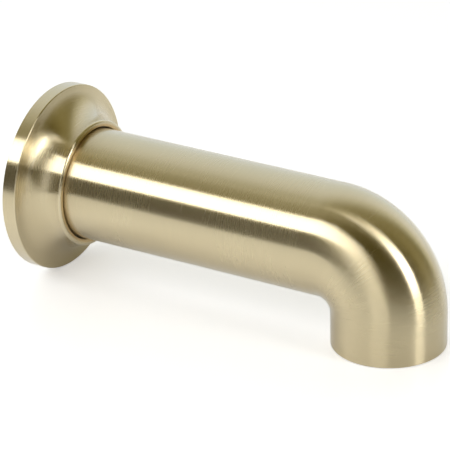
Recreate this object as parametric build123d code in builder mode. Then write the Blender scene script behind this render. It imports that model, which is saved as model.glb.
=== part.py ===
"""Bath spout for a wall: a round brass tube with a tight right-angle elbow, a coved wall flange that
slides on the tube, the threaded bushing in the tube's rear end and the rubber ring that grips the flange.

Millimetres. The origin is the centre of the flange's wall face. +X runs out of the wall along the tube,
+Z is up, and the outlet points down.
"""

import os
from math import acos, degrees

from build123d import *

# Spout tube
tube_diameter = 38.0  # outside
tube_wall = 2.0
reach = 129.2  # wall face to the centre line of the outlet
crotch_radius = 1.6  # inside corner of the elbow
outlet_drop = 11.4  # straight tube below the elbow
tube_setback = 1.0  # the tube's rear end stands clear of the wall
outlet_edge_round = 0.5  # outside edge of the outlet
outlet_lead_in = 0.8  # inside edge of the outlet, a chamfer

# Wall flange, a turned shell
rim_width = 4.9  # cylindrical edge against the wall
rim_edge_round = 1.0
land_width = 0.9  # flat ring between the rim and the cove
cove_radius = 8.4
collar_length = 2.8  # straight neck round the tube
collar_wall = 2.1
collar_clearance = 0.6  # gap all round between the tube and the collar's bore
lip_round = 0.9  # outside edge of the collar
lip_inner_round = 0.5
shell_wall = 2.0
hollow_step = 0.3  # the hollow is at least this much wider at the rim than at its cove

# Rubber ring and its groove in the flange's bore
ring_section = 1.9  # height of the ring between the tube and the bottom of its groove
ring_fit = 0.05  # film of grease each side of the ring
groove_side_room = 0.5  # width that the groove has beyond the ring
groove_inset = 6.3  # collar's lip back to the middle of the groove
groove_cheek = 1.1  # wall behind the groove

# Threaded bushing in the tube's rear end
inlet_bore_diameter = 18.4  # crests of the half-inch pipe thread
inlet_lead_in = 1.4  # chamfer at the mouth of the thread
bushing_setback = 4.0  # bushing's rear face inside the tube's rear end
bushing_length = 22.0
bushing_head = 7.0  # length of the head that is brazed to the tube
hub_relief = 3.0  # the hub in front of the head stands this far clear of the head's outside
hub_fillet = 1.5
hub_edge = 1.0  # chamfer at the hub's front end
braze_gap = 0.05  # film of braze between the bushing and the tube

# Sizes that follow
tube_radius = tube_diameter / 2
tube_bore_radius = tube_radius - tube_wall
bend_radius = tube_radius + crotch_radius
bend_start = reach - bend_radius
outlet_level = -bend_radius - outlet_drop

collar_bore_radius = tube_radius + collar_clearance
collar_radius = collar_bore_radius + collar_wall
cove_rim_radius = collar_radius + cove_radius
flange_radius = cove_rim_radius + land_width + rim_edge_round
collar_start = rim_width + cove_radius
flange_depth = collar_start + collar_length

groove_radius = tube_radius + ring_section + 2 * ring_fit
groove_width = ring_section + groove_side_room
groove_middle = flange_depth - groove_inset
boss_back = groove_middle - groove_width / 2 - groove_cheek
hollow_rim_radius = max(flange_radius - shell_wall, cove_rim_radius + hollow_step)
hollow_cove_radius = cove_radius + shell_wall
hollow_cove_turn = degrees(acos((collar_start - boss_back) / hollow_cove_radius))

bushing_radius = tube_bore_radius - braze_gap
bushing_back = tube_setback + bushing_setback
hub_radius = bushing_radius - hub_relief
inlet_bore_radius = inlet_bore_diameter / 2

os.makedirs("parts", exist_ok=True)

# Tube: a ring section swept along the straight run, the elbow and the drop
with BuildPart() as spout_body:
    with BuildLine(Plane.XZ):
        run = Line((tube_setback, 0), (bend_start, 0))
        elbow = CenterArc((bend_start, -bend_radius), bend_radius, 90, -90)
        Line(elbow @ 1, (reach, outlet_level))
    with BuildSketch(Plane.YZ.offset(tube_setback)):
        Circle(tube_radius)
        Circle(tube_bore_radius, mode=Mode.SUBTRACT)
    sweep()
    outlet_edges = spout_body.edges().group_by(Axis.Z)[0].sort_by(SortBy.RADIUS)
    fillet(outlet_edges[-1], radius=min(outlet_edge_round, 0.4 * tube_wall))
    outlet_edges = spout_body.edges().group_by(Axis.Z)[0].sort_by(SortBy.RADIUS)
    chamfer(outlet_edges[0], length=min(outlet_lead_in, 0.5 * tube_wall))
spout_body.part.label = "spout_body"
export_step(spout_body.part, "parts/spout_body.step")

# Flange: the outside section is turned first, then the hollow back and the ring's groove are cut
with BuildPart() as wall_flange:
    with BuildSketch(Plane.XZ):
        with BuildLine():
            wall_face = Line((0, collar_bore_radius), (0, flange_radius))
            rim = Line(wall_face @ 1, (rim_width, flange_radius))
            land = Line(rim @ 1, (rim_width, cove_rim_radius))
            cove = CenterArc((collar_start, cove_rim_radius), cove_radius, 180, 90)
            collar = Line(cove @ 1, (flange_depth, collar_radius))
            lip = Line(collar @ 1, (flange_depth, collar_bore_radius))
            Line(lip @ 1, wall_face @ 0)
        make_face()
    revolve(axis=Axis.X)
    with BuildSketch(Plane.XZ):
        with BuildLine():
            hollow_mouth = Line((0, collar_bore_radius), (0, hollow_rim_radius))
            hollow_rim = Line(hollow_mouth @ 1, (rim_width - shell_wall, hollow_rim_radius))
            hollow_land = Line(hollow_rim @ 1, (rim_width - shell_wall, cove_rim_radius))
            hollow_cove = CenterArc(
                (collar_start, cove_rim_radius), hollow_cove_radius, 180, hollow_cove_turn
            )
            boss_face = Line(hollow_cove @ 1, (boss_back, collar_bore_radius))
            Line(boss_face @ 1, hollow_mouth @ 0)
        make_face()
    revolve(axis=Axis.X, mode=Mode.SUBTRACT)
    with BuildSketch(Plane.XZ):
        with Locations((groove_middle, (collar_bore_radius + groove_radius) / 2)):
            Rectangle(groove_width, groove_radius - collar_bore_radius)
    revolve(axis=Axis.X, mode=Mode.SUBTRACT)
    lip_edges = wall_flange.edges().group_by(Axis.X)[-1].sort_by(SortBy.RADIUS)
    fillet(lip_edges[-1], radius=min(lip_round, 0.45 * collar_wall))
    lip_edges = wall_flange.edges().group_by(Axis.X)[-1].sort_by(SortBy.RADIUS)
    fillet(lip_edges[0], radius=min(lip_inner_round, 0.3 * collar_wall))
    rim_edges = wall_flange.edges().filter_by(GeomType.CIRCLE).filter_by(
        lambda edge: abs(edge.radius - flange_radius) < 1e-3
    )
    fillet(rim_edges.sort_by(Axis.X)[-1], radius=rim_edge_round)
wall_flange.part.label = "wall_flange"
export_step(wall_flange.part, "parts/wall_flange.step")

# Rubber ring, seated between the tube and the bottom of the groove
with BuildPart() as flange_o_ring:
    with BuildSketch(Plane.XZ):
        with Locations((groove_middle, tube_radius + ring_fit + ring_section / 2)):
            Circle(ring_section / 2)
    revolve(axis=Axis.X)
flange_o_ring.part.label = "flange_o_ring"
export_step(flange_o_ring.part, "parts/flange_o_ring.step")

# Bushing: a head that fills the tube and a hub in front of it, bored for the pipe thread
with BuildPart() as inlet_bushing:
    with BuildSketch(Plane.YZ.offset(bushing_back)):
        Circle(bushing_radius)
    extrude(amount=bushing_head)
    with BuildSketch(Plane.YZ.offset(bushing_back + bushing_head)):
        Circle(hub_radius)
    extrude(amount=bushing_length - bushing_head)
    shoulder = inlet_bushing.edges().filter_by(GeomType.CIRCLE).filter_by(
        lambda edge: abs(edge.radius - hub_radius) < 1e-3
    )
    fillet(shoulder.sort_by(Axis.X)[0], radius=min(hub_fillet, 0.5 * hub_relief))
    chamfer(inlet_bushing.edges().group_by(Axis.X)[-1], length=hub_edge)
    with Locations(Plane.YZ.offset(bushing_back)):
        Hole(inlet_bore_radius)
    mouth = inlet_bushing.edges().group_by(Axis.X)[0].sort_by(SortBy.RADIUS)[0]
    chamfer(mouth, length=inlet_lead_in)
inlet_bushing.part.label = "inlet_bushing"
export_step(inlet_bushing.part, "parts/inlet_bushing.step")
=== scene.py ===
"""Looks of the bath spout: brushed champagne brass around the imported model, in a plain studio.

Metres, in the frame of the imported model: the origin is the centre of the flange's wall face, +X runs out
of the wall along the tube and +Z is up.
"""
import math

import bpy
from mathutils import Matrix, Vector


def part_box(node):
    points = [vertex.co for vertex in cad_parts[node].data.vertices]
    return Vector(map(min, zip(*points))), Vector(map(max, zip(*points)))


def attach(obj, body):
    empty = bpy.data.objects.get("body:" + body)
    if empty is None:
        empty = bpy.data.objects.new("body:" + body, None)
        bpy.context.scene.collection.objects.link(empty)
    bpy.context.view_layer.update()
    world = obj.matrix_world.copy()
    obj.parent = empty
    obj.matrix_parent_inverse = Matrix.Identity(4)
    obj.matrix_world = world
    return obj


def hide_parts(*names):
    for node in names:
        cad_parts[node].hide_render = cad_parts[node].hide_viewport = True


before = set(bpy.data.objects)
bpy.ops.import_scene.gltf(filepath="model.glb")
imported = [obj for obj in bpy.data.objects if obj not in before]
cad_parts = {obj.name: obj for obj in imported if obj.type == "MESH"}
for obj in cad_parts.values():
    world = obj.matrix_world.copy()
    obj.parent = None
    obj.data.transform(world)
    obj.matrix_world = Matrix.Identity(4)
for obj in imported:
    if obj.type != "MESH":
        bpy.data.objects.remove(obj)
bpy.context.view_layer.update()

MM = 0.001

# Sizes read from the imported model
body_low, body_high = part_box("spout_body")
_, flange_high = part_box("wall_flange")
bushing_low, bushing_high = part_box("inlet_bushing")
tube_radius = body_high.y
flange_radius = flange_high.y
flange_depth = flange_high.x
tube_back = body_low.x
outlet_level = body_low.z
reach = body_high.x - tube_radius
bushing_radius = bushing_high.y
bushing_back = bushing_low.x
bushing_front = bushing_high.x

# Spout tube
tube_bore_radius = tube_radius - 2.0 * MM
bend_radius = tube_radius + 1.6 * MM
bend_start = reach - bend_radius
outlet_round = 0.5 * MM
outlet_lead_in = 0.8 * MM
burr_round = 0.2 * MM  # breaks the edges that have no rounding of their own

# Wall flange
rim_width = 4.9 * MM
rim_round = 0.4 * MM  # crisper than in the solid
cove_radius = 8.4 * MM  # of the solid, which the hollow back follows
face_slope = math.radians(7)  # the finished face is up to half a millimetre fuller than the solid's cove
face_cove_radius = 9.3 * MM
collar_radius = tube_radius + 2.7 * MM
collar_bore_radius = tube_radius + 0.4 * MM
lip_round = 0.9 * MM
lip_inner_round = 0.7 * MM
shell_wall = 2.0 * MM
hollow_rim_radius = flange_radius - 1.6 * MM
groove_radius = tube_radius + 2.0 * MM
groove_width = 2.4 * MM
groove_middle = flange_depth - 6.3 * MM
groove_cheek = 1.1 * MM
boss_back = groove_middle - groove_width / 2 - groove_cheek

# Inlet bushing and its half-inch pipe thread
bushing_head = 7.0 * MM
hub_radius = bushing_radius - 3.0 * MM
hub_fillet = 1.5 * MM
hub_edge = 1.0 * MM
thread_crest_radius = 9.2 * MM
thread_depth = 1.15 * MM
thread_flat = 0.125  # share of the depth by which the flanks overshoot each crest and root
thread_pitch = 25.4 / 14 * MM
thread_lead_in = 1.4 * MM
thread_tolerance = 0.01 * MM  # only what lies this near the crests is cut

# How finely the pieces are meshed
segments = 160
spout_step = 1.2 * MM
flange_step = 0.8 * MM
thread_step = thread_pitch / 12
arc_step = math.radians(9)

# The corner of its section up to which each piece is finished
spout_skin = 1.5  # the end face of the outlet
flange_skin = 3  # the lip of the collar
bushing_skin = -1  # bare all over

# Colours
satin_colour = (0.70, 0.60, 0.385)
# bare brass of the insides, and also a painted reflection: its orange stands in for light bouncing in the
# gap
bare_and_reflection_colour = (0.68, 0.47, 0.20)
turned_colour = (0.72, 0.55, 0.27)
worn_colour = (0.86, 0.78, 0.58)
rubber_colour = (0.012, 0.012, 0.012)
white = (1, 1, 1)

# Brush lines, clouds and worn edges of the brass
uv_length = 0.36  # length of section that one unit of U covers
brush_line = 0.28 * MM  # width of a brush line
brush_lines_round = 1.6  # about six times this many lines end to end round the piece
brush_detail = 3
brush_fineness = 0.6
brush_depth = 0.012 * MM
brush_bump = 0.06
brush_ends = (0.25, 0.75)  # noise of the darkest and the lightest line
brush_shades = (0.96, 1.035)
patina_size = 30 * MM
patina_detail = 4
patina_ends = (0.3, 0.7)  # noise of the darkest and the lightest cloud
patina_shades = (0.97, 1.03)
noise_middle = 0.5
edge_limit = 1.2 * MM  # convex edges of less rounding than this wear bright
worn_share = 0.35  # of the worn colour on such an edge

# Roughness, and how far each of the last four moves that of the brass
satin_roughness = 0.265
turned_roughness = 0.22
coat_roughness = 0.15
rubber_roughness = (0.4, 0.7)
brush_roughness = 0.04
patina_roughness = 0.06
bare_roughness = 0.1
worn_roughness = -0.05

# The photograph's camera
camera_azimuth = math.radians(32.17)
camera_elevation = math.radians(24.61)
camera_roll = math.radians(-1.18)
camera_distance = 0.9545
camera_lens = 228.9
camera_sensor = 36
camera_aim = Vector((57.0, 0.0, -9.5)) * MM
camera_offset_right = 8.7 * MM
camera_offset_up = 2.75 * MM

# Lowest corner, highest corner and radiance of each softbox
softboxes = {
    "key_softbox": ((-1.05, -0.5, 0.285), (0.06, -0.5, 0.785), 3.0),
    "side_softbox": ((0.06, -0.5, 0.26), (0.33, -0.5, 0.56), 1.65),
    "fill_softbox": ((0.03, -1.0, -0.03), (0.65, -1.0, 0.5), 0.87),
    "low_softbox": ((0.6, -0.085, 0.03), (0.6, 0.065, 0.13), 2.4),
    "end_softbox": ((0.6, -0.08, 0.13), (0.6, 0.075, 0.4), 6.5),
    "top_softbox": ((0.6, -0.13, 0.4), (0.6, 0.05, 1.3), 1.25),
    "overhead_softbox": ((0.1, -0.25, 1.3), (0.6, -0.1, 1.3), 0.8),
}

# Dark card
card_low = (-1.05, -0.42, -0.032)
card_high = (0.03, -0.42, 0.205)
card_colour = (0.062, 0.047, 0.009)
card_roughness = 0.9

# Floor
floor_half_size = 1.5
floor_colour = (0.86, 0.87, 0.92)
floor_roughness = 0.37
floor_white = 0.45  # light added where the camera sees the floor
floor_glow_ends = (0.2, 0.02)  # far and near place along X, from the floor's middle
floor_glow = (0.05, 0.26)  # painted light added at those places where the metal mirrors the floor
floor_shade_reach = 0.2  # things this near take the glow away, a painted shade under the spout
floor_shade_samples = 8

# Light of the world by direction, from 0 straight away from its bright side to 1 straight towards it
bright_side = (-0.69, 0.723, 0.021)
world_stops = [
    (0.24, (0.06, 0.045, 0.002)),
    (0.36, (0.15, 0.123, 0.035)),
    (0.48, (0.29, 0.255, 0.115)),
    (0.61, (0.17, 0.14, 0.035)),
    (0.71, (0.69, 0.68, 0.52)),
    (0.78, (0.88, 0.885, 0.87)),
    (0.90, (0.80, 0.86, 0.88)),
]


def rounded_section(corners, step):
    """A closed section as a list of (along, radius, normal along, normal outward, corner, wear).

    Each corner is (along, radius, rounding). The corners run with the metal on their right, so the outside
    of a tube is drawn from its rear to its front. A point has the number of the corner that it lies on, or
    half more on the straight that follows, and wear is 1 in the middle of a small convex edge.
    """
    points = []
    count = len(corners)
    for i, (along, radius, rounding) in enumerate(corners):
        here = Vector((along, radius))
        way_in = (here - Vector(corners[i - 1][:2])).normalized()
        way_out = (Vector(corners[(i + 1) % count][:2]) - here).normalized()
        turn = math.atan2(way_in.x * way_out.y - way_in.y * way_out.x, way_in.dot(way_out))
        start = here - way_in * rounding * math.tan(abs(turn) / 2)
        hollow = 1 if turn > 0 else -1
        centre = start + Vector((-way_in.y, way_in.x)) * rounding * hollow
        worn = turn < 0 and rounding < edge_limit
        steps = max(2, math.ceil(abs(turn) / arc_step))
        arc = []
        for k in range(steps + 1):
            heading = Matrix.Rotation(turn * k / steps, 2) @ way_in
            normal = Vector((-heading.y, heading.x))
            wear = math.sin(math.pi * k / steps) if worn else 0.0
            arc.append((centre - normal * rounding * hollow, normal, i, wear))
        if points:
            points += straight(points[-1], arc[0], step)
        points += arc
    points += straight(points[-1], points[0], step)
    return [(p.x, p.y, n.x, n.y, corner, wear) for p, n, corner, wear in points]


def straight(start, end, step):
    """Points between two ends of a straight stretch, without the ends."""
    (a, normal, corner, _), b = start, end[0]
    pieces = max(1, math.ceil((b - a).length / step))
    return [(a.lerp(b, k / pieces), normal, corner + 0.5, 0.0) for k in range(1, pieces)]


def along_axis(along):
    """Centre, direction and upward side of the straight inlet axis."""
    return Vector((along, 0, 0)), Vector((1, 0, 0)), Vector((0, 0, 1))


def along_spout(along):
    """Centre, direction and outer side of the spout's centre line, by its length from the wall."""
    turned = min(max((along - bend_start) / bend_radius, 0), math.pi / 2)
    direction = Vector((math.cos(turned), 0, -math.sin(turned)))
    side = Vector((math.sin(turned), 0, math.cos(turned)))
    centre = Vector((bend_start, 0, -bend_radius)) + side * bend_radius
    past_bend = along - bend_start - turned * bend_radius
    return centre + direction * past_bend, direction, side


def add_object(name, mesh, material):
    """An object in the scene, of a mesh with one material."""
    mesh.materials.append(material)
    made = bpy.data.objects.new(name, mesh)
    bpy.context.scene.collection.objects.link(made)
    return made


def turned_piece(name, section, place, material, skin, own_normals=True, carve=None):
    """A section carried round a centre line, with UVs that run along the section and round the piece.

    place(along) gives the centre line, and carve(along, radius, turn) may move a point in or out. The
    section is finished up to corner number skin, and the metal is bare from there on, where its material
    also paints a warm reflection.
    """
    rings = len(section)
    verts = []
    normals = []
    bare = []
    worn = []
    for along, radius, normal_along, normal_out, corner, wear in section:
        bare += [float(corner > skin)] * segments
        worn += [wear] * segments
        centre, direction, side = place(along)
        for j in range(segments):
            turn = 2 * math.pi * j / segments
            outward = side * math.cos(turn) + Vector((0, math.sin(turn), 0))
            reach_out = carve(along, radius, turn) if carve else radius
            verts.append(centre + outward * reach_out)
            normals.append((outward * normal_out + direction * normal_along).normalized())
    lengths = [0.0]
    for i in range(rings):
        here = Vector(section[i][:2])
        lengths.append(lengths[-1] + (Vector(section[(i + 1) % rings][:2]) - here).length)
    faces = []
    uvs = []
    for i in range(rings):
        ring, ring_next = i * segments, (i + 1) % rings * segments
        u0, u1 = lengths[i] / uv_length, lengths[i + 1] / uv_length
        for j in range(segments):
            j_next = (j + 1) % segments
            faces.append((ring + j, ring_next + j, ring_next + j_next, ring + j_next))
            v0, v1 = j / segments, (j + 1) / segments
            uvs += [(u0, v0), (u1, v0), (u1, v1), (u0, v1)]
    mesh = bpy.data.meshes.new(name)
    mesh.from_pydata(verts, [], faces)
    uv_layer = mesh.uv_layers.new(name="UVMap")
    for loop, uv in zip(uv_layer.data, uvs):
        loop.uv = uv
    for mask, values in (("bare", bare), ("worn", worn)):
        mesh.attributes.new(mask, "FLOAT", "POINT").data.foreach_set("value", values)
    mesh.shade_smooth()
    mesh.update()
    if own_normals:
        mesh.normals_split_custom_set_from_vertices(normals)
    return add_object(name, mesh, material)


def node(tree, kind, **settings):
    """A shader node with settings by attribute name."""
    made = tree.nodes.new(kind)
    for key, value in settings.items():
        setattr(made, key, value)
    return made


def feed(tree, socket, value):
    """Give a socket a link from another socket, a number or a colour."""
    if isinstance(value, bpy.types.NodeSocket):
        tree.links.new(value, socket)
    else:
        socket.default_value = (*value, 1) if isinstance(value, tuple) else value


def arithmetic(tree, first, second, operation):
    """The result of one sum on two sockets or numbers."""
    made = node(tree, "ShaderNodeMath", operation=operation)
    feed(tree, made.inputs[0], first)
    feed(tree, made.inputs[1], second)
    return made.outputs[0]


def mapped(tree, value, from_ends, to_ends, interpolation="LINEAR"):
    """A socket's value carried from one range to another and held at its ends."""
    made = node(tree, "ShaderNodeMapRange", interpolation_type=interpolation)
    for name, end in zip(("From Min", "From Max", "To Min", "To Max"), (*from_ends, *to_ends)):
        feed(tree, made.inputs[name], end)
    feed(tree, made.inputs["Value"], value)
    return made.outputs["Result"]


def mixed_colour(tree, amount, first, second, blend="MIX"):
    """A mix of two colours, each a socket or a constant, by a socket or a number."""
    made = node(tree, "ShaderNodeMix", data_type="RGBA", blend_type=blend)
    for name, value in (("Factor", amount), ("A", first), ("B", second)):
        feed(tree, made.inputs[name], value)
    return made.outputs["Result"]


def new_material(name):
    """A material with its node tree and its Principled shader."""
    material = bpy.data.materials.new(name)
    material.use_nodes = True
    return material, material.node_tree, material.node_tree.nodes["Principled BSDF"]


def object_place(tree):
    """Coordinates in the object's own space."""
    return node(tree, "ShaderNodeTexCoord").outputs["Object"]


def brush_lines(tree):
    """Noise in fine lines round the piece, without a seam, from the piece's UVs."""
    uv = node(tree, "ShaderNodeSeparateXYZ")
    tree.links.new(node(tree, "ShaderNodeUVMap", uv_map="UVMap").outputs["UV"], uv.inputs["Vector"])
    turn = arithmetic(tree, uv.outputs["Y"], 2 * math.pi, "MULTIPLY")
    where = node(tree, "ShaderNodeCombineXYZ")
    feed(tree, where.inputs["X"], arithmetic(tree, uv.outputs["X"], uv_length / brush_line, "MULTIPLY"))
    for axis, wave in (("Y", "COSINE"), ("Z", "SINE")):
        swing = arithmetic(tree, turn, 0, wave)
        feed(tree, where.inputs[axis], arithmetic(tree, swing, brush_lines_round, "MULTIPLY"))
    lines = node(tree, "ShaderNodeTexNoise")
    lines.inputs["Scale"].default_value = 1
    lines.inputs["Detail"].default_value = brush_detail
    lines.inputs["Roughness"].default_value = brush_fineness
    tree.links.new(where.outputs["Vector"], lines.inputs["Vector"])
    return lines.outputs["Fac"]


def patina(tree):
    """Broad, faint cloudiness in object space."""
    clouds = node(tree, "ShaderNodeTexNoise")
    clouds.inputs["Scale"].default_value = 1 / patina_size
    clouds.inputs["Detail"].default_value = patina_detail
    tree.links.new(object_place(tree), clouds.inputs["Vector"])
    return clouds.outputs["Fac"]


def brushed_brass(name, colour, inside_and_reflection_colour, roughness, brushing, coat):
    """Brass with fine brush lines round the piece, which spread its reflections along the piece.

    Small edges are worn bright, and the insides are bare metal of the second colour, which is also a
    painted warm reflection of light bouncing between the parts.
    """
    material, tree, shader = new_material(name)
    link = tree.links.new
    shader.inputs["Metallic"].default_value = 1
    shader.inputs["Anisotropic"].default_value = brushing
    shader.inputs["Coat Weight"].default_value = coat
    shader.inputs["Coat Roughness"].default_value = coat_roughness
    tangent = node(tree, "ShaderNodeTangent", direction_type="UV_MAP", uv_map="UVMap")
    link(tangent.outputs["Tangent"], shader.inputs["Tangent"])

    lines = brush_lines(tree)
    clouds = patina(tree)
    bare = node(tree, "ShaderNodeAttribute", attribute_name="bare").outputs["Fac"]
    worn = node(tree, "ShaderNodeAttribute", attribute_name="worn").outputs["Fac"]

    # painted reflection: the bare insides take the orange second colour, which stands for bare brass and
    # for warm light bouncing in the gap
    tint = mixed_colour(tree, bare, colour, inside_and_reflection_colour)
    tint = mixed_colour(tree, arithmetic(tree, worn, worn_share, "MULTIPLY"), tint, worn_colour)
    line_shade = mapped(tree, lines, brush_ends, brush_shades)
    cloud_shade = mapped(tree, clouds, patina_ends, patina_shades)
    shade = arithmetic(tree, line_shade, cloud_shade, "MULTIPLY")
    link(mixed_colour(tree, 1.0, tint, shade, "MULTIPLY"), shader.inputs["Base Color"])

    rough = roughness
    for source, middle, swing in (
        (lines, noise_middle, brush_roughness),
        (clouds, noise_middle, patina_roughness),
        (bare, 0, bare_roughness),
        (worn, 0, worn_roughness),
    ):
        change = arithmetic(tree, arithmetic(tree, source, middle, "SUBTRACT"), swing, "MULTIPLY")
        rough = arithmetic(tree, change, rough, "ADD")
    link(rough, shader.inputs["Roughness"])

    bump = node(tree, "ShaderNodeBump")
    bump.inputs["Strength"].default_value = brush_bump
    bump.inputs["Distance"].default_value = brush_depth
    link(lines, bump.inputs["Height"])
    link(bump.outputs["Normal"], shader.inputs["Normal"])
    return material


def rubber(name):
    """Black moulded rubber."""
    material, tree, shader = new_material(name)
    shader.inputs["Base Color"].default_value = (*rubber_colour, 1)
    tree.links.new(mapped(tree, patina(tree), (0, 1), rubber_roughness), shader.inputs["Roughness"])
    return material


def make_spout(material):
    """The hollow tube from its rear end through the elbow to the outlet."""
    length = bend_start + math.pi / 2 * bend_radius - bend_radius - outlet_level
    corners = [
        (tube_back, tube_radius, burr_round),
        (length, tube_radius, outlet_round),
        (length, tube_bore_radius + outlet_lead_in, burr_round),
        (length - outlet_lead_in, tube_bore_radius, burr_round),
        (tube_back, tube_bore_radius, burr_round),
    ]
    section = rounded_section(corners, spout_step)
    spout = turned_piece("spout_tube", section, along_spout, material, spout_skin)
    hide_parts("spout_body")
    return spout


def make_flange(material):
    """The coved flange, hollow at the back, with the groove for the rubber ring in its bore."""
    hollow_front = rim_width - shell_wall
    hollow_cove = cove_radius + shell_wall
    hollow_turn = math.acos((rim_width + cove_radius - boss_back) / hollow_cove)
    cove_rim_radius = collar_radius + cove_radius
    boss_radius = cove_rim_radius - hollow_cove * math.sin(hollow_turn)
    hollow_corner = cove_rim_radius - hollow_cove * math.tan(hollow_turn / 2)
    face_foot = rim_width + (flange_radius - collar_radius) * math.tan(face_slope)
    groove_front = groove_middle + groove_width / 2
    groove_rear = groove_middle - groove_width / 2
    corners = [
        (0, flange_radius, burr_round),
        (rim_width, flange_radius, rim_round),
        (face_foot, collar_radius, face_cove_radius),
        (flange_depth, collar_radius, lip_round),
        (flange_depth, collar_bore_radius, lip_inner_round),
        (groove_front, collar_bore_radius, burr_round),
        (groove_front, groove_radius, burr_round),
        (groove_rear, groove_radius, burr_round),
        (groove_rear, collar_bore_radius, burr_round),
        (boss_back, collar_bore_radius, burr_round),
        (boss_back, boss_radius, burr_round),
        (hollow_front, hollow_corner, hollow_cove - 2 * burr_round),  # leaves room for the edges beside it
        (hollow_front, hollow_rim_radius, burr_round / 2),
        (0, hollow_rim_radius, burr_round),
    ]
    section = rounded_section(corners, flange_step)
    flange = turned_piece("coved_flange", section, along_axis, material, flange_skin)
    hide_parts("wall_flange")
    return flange


def thread_cut(along, radius, turn):
    """Radius of the bushing where the pipe thread is cut into its bore."""
    if radius > thread_crest_radius + thread_tolerance:
        return radius
    turns = (along - bushing_back) / thread_pitch - turn / (2 * math.pi)
    flank = 1 - abs(2 * (turns % 1) - 1)
    cut = (1 + 2 * thread_flat) * flank - thread_flat
    return thread_crest_radius + thread_depth * min(max(cut, 0), 1)


def make_bushing(material):
    """The brazed bushing with the turns of the pipe thread cut into its bore."""
    shoulder = bushing_back + bushing_head
    corners = [
        (bushing_back, bushing_radius, burr_round),
        (shoulder, bushing_radius, burr_round),
        (shoulder, hub_radius, hub_fillet),
        (bushing_front - hub_edge, hub_radius, burr_round),
        (bushing_front, hub_radius - hub_edge, burr_round),
        (bushing_front, thread_crest_radius, burr_round),
        (bushing_back + thread_lead_in, thread_crest_radius, burr_round),
        (bushing_back, thread_crest_radius + thread_lead_in, burr_round),
    ]
    section = rounded_section(corners, thread_step)
    bushing = turned_piece(
        "threaded_bushing", section, along_axis, material, bushing_skin, own_normals=False, carve=thread_cut
    )
    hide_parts("inlet_bushing")
    return bushing


def standing(place, right, up, back):
    """The matrix of a camera or a lamp at a place, which looks away from back."""
    return Matrix.Translation(place) @ Matrix((right, up, back)).transposed().to_4x4()


def camera_axes():
    """Right, up and back of the photograph's camera."""
    back = Vector((
        math.sin(camera_azimuth) * math.cos(camera_elevation),
        -math.cos(camera_azimuth) * math.cos(camera_elevation),
        math.sin(camera_elevation),
    ))
    level = Vector((math.cos(camera_azimuth), math.sin(camera_azimuth), 0))
    upright = back.cross(level)
    right = level * math.cos(camera_roll) + upright * math.sin(camera_roll)
    return right, back.cross(right), back


def make_camera():
    """The camera at the photograph's angle."""
    right, up, back = camera_axes()
    data = bpy.data.cameras.new("camera")
    data.lens = camera_lens
    data.sensor_width = camera_sensor
    camera = bpy.data.objects.new("camera", data)
    place = camera_aim + right * camera_offset_right + up * camera_offset_up + back * camera_distance
    camera.matrix_world = standing(place, right, up, back)
    bpy.context.scene.collection.objects.link(camera)
    bpy.context.scene.camera = camera


def make_softbox(name, low, high, radiance):
    """A flat softbox square to one axis, between its lowest and highest corner, facing the object."""
    low, high = Vector(low), Vector(high)
    middle = (low + high) / 2
    thin = min(range(3), key=lambda axis: abs(high[axis] - low[axis]))
    back = Vector((0, 0, 0))
    back[thin] = math.copysign(1, middle[thin] - camera_aim[thin])
    upright = Vector((1, 0, 0)) if thin == 2 else Vector((0, 0, 1))
    across = upright.cross(back)
    data = bpy.data.lights.new(name, "AREA")
    data.shape = "RECTANGLE"
    data.size = abs((high - low).dot(across))
    data.size_y = (high - low).dot(upright)
    data.energy = radiance * math.pi * data.size * data.size_y
    light = bpy.data.objects.new(name, data)
    light.matrix_world = standing(middle, across, upright, back)
    light.visible_camera = False
    bpy.context.scene.collection.objects.link(light)


def flat_sheet(name, corners, material):
    """A flat object with one face between four corners."""
    mesh = bpy.data.meshes.new(name)
    mesh.from_pydata(corners, [], [(0, 1, 2, 3)])
    return add_object(name, mesh, material)


def make_card():
    """A matt dark card square to the Y axis, which only the lamps and the metal see."""
    material, _, shader = new_material("dark_card")
    shader.inputs["Base Color"].default_value = (*card_colour, 1)
    shader.inputs["Roughness"].default_value = card_roughness
    (x0, y, z0), (x1, _, z1) = card_low, card_high
    card = flat_sheet("dark_card", [(x0, y, z0), (x1, y, z0), (x1, y, z1), (x0, y, z1)], material)
    card.visible_camera = False


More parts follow.
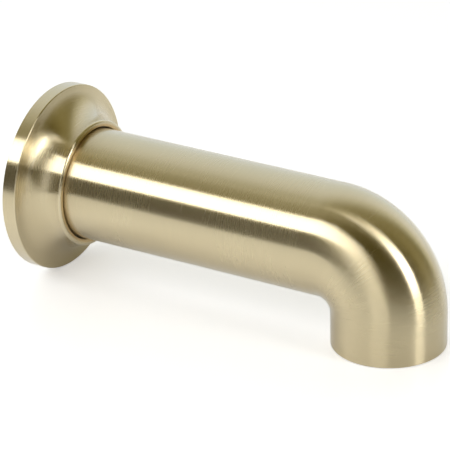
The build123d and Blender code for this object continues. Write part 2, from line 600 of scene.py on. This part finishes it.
def make_floor():
    """A pale floor under the spout, which stays near white and keeps the soft shadow, with a painted glow
    that only the metal sees and painted shade near the spout.
    """
    material, tree, shader = new_material("pale_floor")
    shader.inputs["Base Color"].default_value = (*floor_colour, 1)
    shader.inputs["Roughness"].default_value = floor_roughness
    shader.inputs["Emission Color"].default_value = (*white, 1)

    path = node(tree, "ShaderNodeLightPath").outputs
    mirrored = arithmetic(tree, path["Is Glossy Ray"], path["Is Transmission Ray"], "MAXIMUM")
    # painted light: a glow that only reflections see, brighter along X towards the spout, taken away by
    # painted shade where things stand near
    painted_shade = node(tree, "ShaderNodeAmbientOcclusion", samples=floor_shade_samples)
    painted_shade.inputs["Distance"].default_value = floor_shade_reach
    place = node(tree, "ShaderNodeSeparateXYZ")
    tree.links.new(object_place(tree), place.inputs["Vector"])
    fade = mapped(tree, place.outputs["X"], floor_glow_ends, floor_glow, "SMOOTHSTEP")
    glow = arithmetic(tree, painted_shade.outputs["AO"], fade, "MULTIPLY")
    seen = arithmetic(tree, path["Is Camera Ray"], floor_white, "MULTIPLY")
    shown = arithmetic(tree, mirrored, glow, "MULTIPLY")
    tree.links.new(arithmetic(tree, seen, shown, "ADD"), shader.inputs["Emission Strength"])

    size = floor_half_size
    corners = [(-size, -size, 0), (size, -size, 0), (size, size, 0), (-size, size, 0)]
    floor = flat_sheet("floor", corners, material)
    floor.location = (camera_aim.x, 0, outlet_level)


def make_world():
    """A studio that is bright behind the spout and dim in front, white where the camera sees it."""
    world = bpy.data.worlds.new("studio")
    world.use_nodes = True
    bpy.context.scene.world = world
    tree = world.node_tree
    toward = node(tree, "ShaderNodeVectorMath", operation="DOT_PRODUCT")
    toward.inputs[1].default_value = bright_side
    tree.links.new(node(tree, "ShaderNodeTexCoord").outputs["Generated"], toward.inputs[0])
    ramp = node(tree, "ShaderNodeValToRGB")
    stops = ramp.color_ramp.elements
    while len(stops) < len(world_stops):
        stops.new(0.5)
    for stop, (position, colour) in zip(stops, world_stops):
        stop.position = position
        stop.color = (*colour, 1)
    tree.links.new(mapped(tree, toward.outputs["Value"], (-1, 1), (0, 1)), ramp.inputs["Fac"])
    seen = node(tree, "ShaderNodeLightPath").outputs["Is Camera Ray"]
    shown = mixed_colour(tree, seen, ramp.outputs["Color"], white)
    tree.links.new(shown, tree.nodes["Background"].inputs["Color"])


satin_brass = brushed_brass("satin_brass", satin_colour, bare_and_reflection_colour, satin_roughness, brushing=1, coat=1)
turned_brass = brushed_brass(
    "turned_brass", turned_colour, turned_colour, turned_roughness, brushing=0.6, coat=0
)
black_rubber = rubber("black_rubber")

for piece, slot in (
    (make_spout(satin_brass), "brushed_brass"),
    (make_flange(satin_brass), "brushed_brass"),
    (make_bushing(turned_brass), "turned_brass"),
):
    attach(piece, "root")
ring_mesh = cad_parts["flange_o_ring"].data
ring_mesh.materials.clear()
ring_mesh.materials.append(black_rubber)

make_camera()
for name, (low, high, radiance) in softboxes.items():
    make_softbox(name, low, high, radiance)
make_card()
make_floor()
make_world()
bpy.context.scene.view_settings.view_transform = "Standard"
